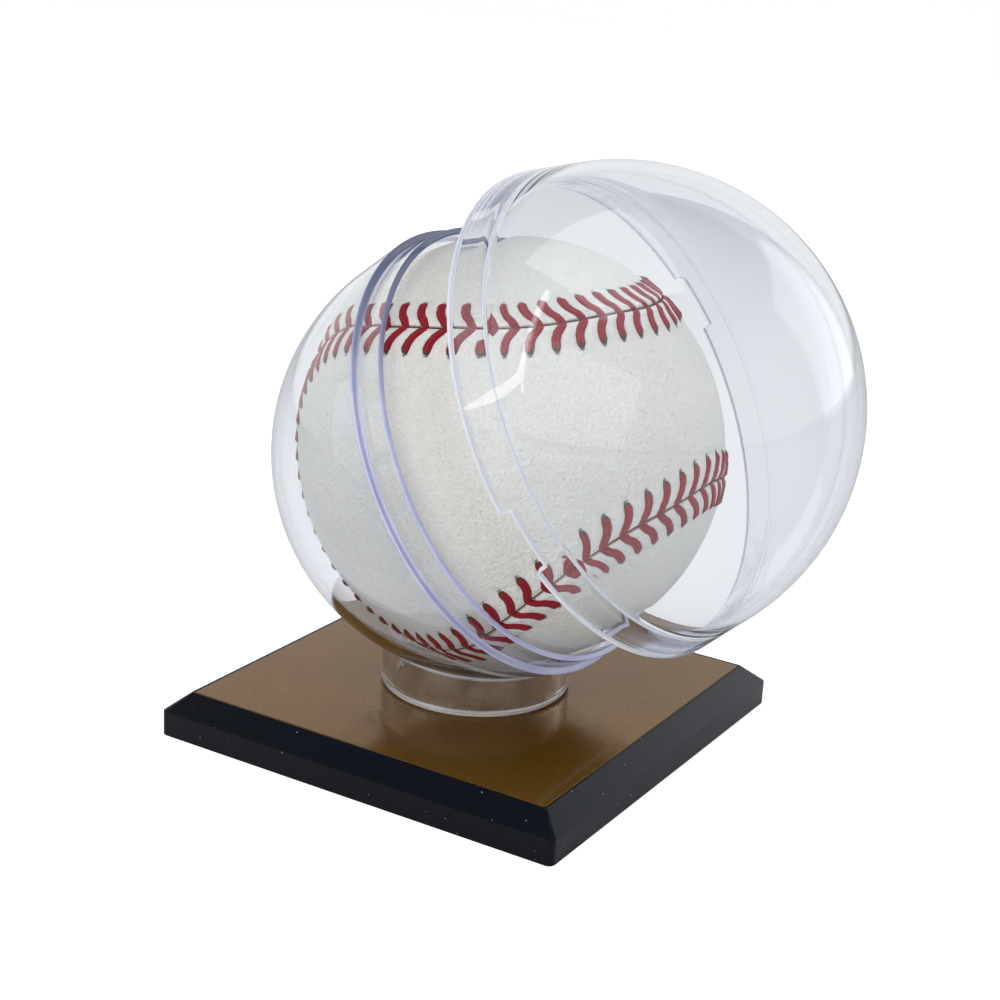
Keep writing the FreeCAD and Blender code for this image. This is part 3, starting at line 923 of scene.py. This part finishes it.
def add_floor():
    """Pale matt floor, white to the camera and bright in glass, that keeps the object's shadow.

    It ends where the soft boxes no longer light it; beyond it the room is white as well.
    """
    reach = 1.3
    corners = [(-reach, -reach, 0), (reach, -reach, 0), (reach, reach, 0), (-reach, reach, 0)]
    mesh = bpy.data.meshes.new("floor")
    mesh.from_pydata(corners, [], [(0, 1, 2, 3)])
    floor = bpy.data.objects.new("floor", mesh)
    bpy.context.scene.collection.objects.link(floor)
    material, tree = new_material("matt_white_floor")[:2]
    matt = add(tree, "ShaderNodeBsdfDiffuse", {"Color": linear("#e2e2e2")})
    path = add(tree, "ShaderNodeLightPath").outputs
    strength = 0.0
    for ray, share in (("Is Camera Ray", 0.85), ("Is Glossy Ray", 0.2), ("Is Transmission Ray", 0.24)):
        total = add(tree, "ShaderNodeMath", {0: path[ray], 1: share, 2: strength}, operation="MULTIPLY_ADD")
        strength = total.outputs[0]
    glow = add(tree, "ShaderNodeEmission", {"Strength": strength})
    both = add(tree, "ShaderNodeAddShader", {0: matt.outputs[0], 1: glow.outputs[0]})
    add(tree, "ShaderNodeOutputMaterial", {"Surface": both.outputs[0]})
    mesh.materials.append(material)


def add_world():
    """Room with bright walls and a darker ceiling in reflections, and white behind the object.

    It gives the matt surfaces only a dim fill, since the soft boxes light them.
    """
    world = bpy.data.worlds.new("studio")
    bpy.context.scene.world = world
    world.use_nodes = True
    tree = world.node_tree
    tree.nodes.clear()
    way = add(tree, "ShaderNodeTexCoord").outputs["Generated"]
    height = add(tree, "ShaderNodeSeparateXYZ", {0: way}).outputs["Z"]
    overhead = add(tree, "ShaderNodeMapRange", {"Value": height, "From Min": 0.4, "From Max": 0.8})
    room = add(tree, "ShaderNodeMix", {
        "Factor": overhead.outputs[0], 6: linear("#fdfeff"), 7: linear("#a0a6b8")}, data_type="RGBA")
    path = add(tree, "ShaderNodeLightPath").outputs
    colour = linear("#646870")
    for ray, seen in (
        ("Is Glossy Ray", room.outputs[2]),
        ("Is Transmission Ray", linear("#f4f7f6")),
        ("Is Camera Ray", linear("#ffffff")),
    ):
        mix = add(tree, "ShaderNodeMix", {"Factor": path[ray], 6: colour, 7: seen}, data_type="RGBA")
        colour = mix.outputs[2]
    light = add(tree, "ShaderNodeBackground", {"Color": colour, "Strength": 1.0})
    add(tree, "ShaderNodeOutputWorld", {"Surface": light.outputs[0]})


def upright_axes(back, roll):
    """Right and up of something that looks along minus back, rolled from upright by an angle."""
    level = unit(np.cross((0, 0, 1), back))
    upright = np.cross(back, level)
    return (math.cos(roll) * level + math.sin(roll) * upright,
            math.cos(roll) * upright - math.sin(roll) * level)


def standing(right, up, back, place):
    """Matrix of an object whose own axes point right, up and back, at a place."""
    columns = np.eye(4)
    columns[:3, 0] = right
    columns[:3, 1] = up
    columns[:3, 2] = back
    columns[:3, 3] = place
    return Matrix(columns.tolist())


def add_lamp(name, place, width, height, watts, slant=0.0, mirrored=True, faint=True):
    """Soft box: a rectangular lamp that points from its place to the ball.

    Slant, in degrees, turns it about its own line of sight. A lamp that isn't mirrored shows only
    faintly, off the inner face of a clear wall, as through a polarising filter, and without faint
    not even there.
    """
    data = bpy.data.lights.new(name, "AREA")
    data.shape = "RECTANGLE"
    data.size = width
    data.size_y = height
    data.energy = watts
    lamp = bpy.data.objects.new(name, data)
    lamp.visible_glossy = mirrored
    lamp.visible_transmission = mirrored or faint
    back = unit(np.asarray(place, dtype=float) - ball_centre)
    right, up = upright_axes(back, math.radians(slant))
    lamp.matrix_world = standing(right, up, back, place)
    bpy.context.scene.collection.objects.link(lamp)


def add_camera():
    """Camera at the photograph's viewing angle, for a square image."""
    azimuth = math.radians(30.758)
    elevation = math.radians(18.504)
    roll = math.radians(3.036)
    distance = 346.78 * MM
    target = np.array((2.883, 0.551, 42.009)) * MM
    data = bpy.data.cameras.new("camera")
    data.sensor_width = 36.0
    data.lens = 71.854
    camera = bpy.data.objects.new("camera", data)
    level = math.cos(elevation)
    back = np.array((math.sin(azimuth) * level, -math.cos(azimuth) * level, math.sin(elevation)))
    right, up = upright_axes(back, roll)
    camera.matrix_world = standing(right, up, back, target + back * distance)
    bpy.context.scene.collection.objects.link(camera)
    bpy.context.scene.camera = camera


def dress_new_pieces():
    """Every new piece with its finishes, its body and the node that it replaces."""
    clear = clear_styrene()
    leather = ball_leather()
    # The end faces' pale colours are painted light, for the light that the walls lead out there; their top
    # tone is painted shade.
    lavender = styrene_end_face("lavender_styrene_end_face_painted_light", "#bcbff6", "#e8e9ff", "#5a648c", 0.18)
    pale = styrene_end_face("pale_styrene_end_face_painted_light", "#f0f0f8", "#ffffff", "#f8f8fc", 0.5)
    white = styrene_end_face("white_styrene_ledge_painted_light", "#f6f6fa", "#ffffff", "#f8f8fc", 0.15)
    dress(make_base_block(), [black_acrylic()], "stand", "black_acrylic", "base_block")
    dress(make_top_plate(), [gold_plate()], "stand", "gold_plate", "top_plate")
    dress(make_stand_ring(), [styrene_tube(), pale], "stand", "clear_styrene", "stand_ring")
    dress(make_rear_half(), [clear, lavender], "stand", "clear_styrene", "rear_half")
    dress(make_front_half(), [clear, white], "cover", "clear_styrene", "front_half")
    for name, flip, node in (
        ("leather_panel_waist_up", False, "leather_panel_a"),
        ("leather_panel_waist_down", True, "leather_panel_b"),
    ):
        dress(make_leather_panel(name, flip), [leather], "ball", "ball_leather", node)
    dress(make_red_stitching(), [red_thread()], "ball", "red_thread", "red_stitching")


def dress_kept_nodes():
    """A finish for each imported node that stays: the two films and the layers inside the ball."""
    film = grained("acrylic_adhesive_film", "#e2e2dc", "#d6d6d0", 1.5, 0.35, 0.02)
    black_rubber = grained("moulded_black_rubber", "#101010", "#1b1b1b", 0.8, 0.6, 0.03)
    red_rubber = grained("moulded_red_rubber", "#7c1612", "#8f221a", 0.8, 0.55, 0.03)
    cork = grained("granulated_cork_and_rubber", "#6a4426", "#a87a4c", 1.4, 0.85, 0.15)
    grey_wool = grained("wound_grey_wool_yarn", "#6f6e69", "#9a9890", 0.6, 0.95, 0.2)
    white_wool = grained("wound_white_wool_yarn", "#d9d5ca", "#efece4", 0.6, 0.95, 0.2)
    cotton = grained("wound_cotton_finish_yarn", "#d0cabb", "#e8e3d6", 0.4, 0.9, 0.1)
    for material, nodes in (
        (film, ("plate_bond_film", "ring_bond_film")),
        (cork, ("cork_core",)),
        (black_rubber, ("black_rubber_cup_upper", "black_rubber_cup_lower")),
        (red_rubber, ("red_rubber_washer", "red_rubber_layer")),
        (grey_wool, ("inner_grey_winding", "outer_grey_winding")),
        (white_wool, ("white_winding",)),
        (cotton, ("finish_winding",)),
    ):
        for node in nodes:
            dress_node(node, material)


bpy.context.scene.view_settings.view_transform = "Standard"
add_camera()
add_floor()
add_world()
add_lamp("front_soft_box", (-0.15, -0.85, 0.36), width=1.8, height=0.7, watts=3.7, mirrored=False)
add_lamp("right_soft_box", (0.80, -0.45, 0.40), width=0.6, height=0.6, watts=1.5, mirrored=False,
         faint=False)
add_lamp("top_soft_box", (-0.05, -0.10, 0.98), width=0.9, height=0.7, watts=3.4, mirrored=False)
add_lamp("low_card", (-0.12, -0.50, 0.06), width=0.8, height=0.1, watts=0.7, mirrored=False, faint=False)
add_lamp("upright_strip", (-0.268, -0.643, 0.57), width=0.028, height=0.7, watts=0.22, slant=16)
add_lamp("window_behind", (0.50, 0.80, 0.25), width=0.6, height=0.9, watts=1.1)
dress_new_pieces()
dress_kept_nodes()
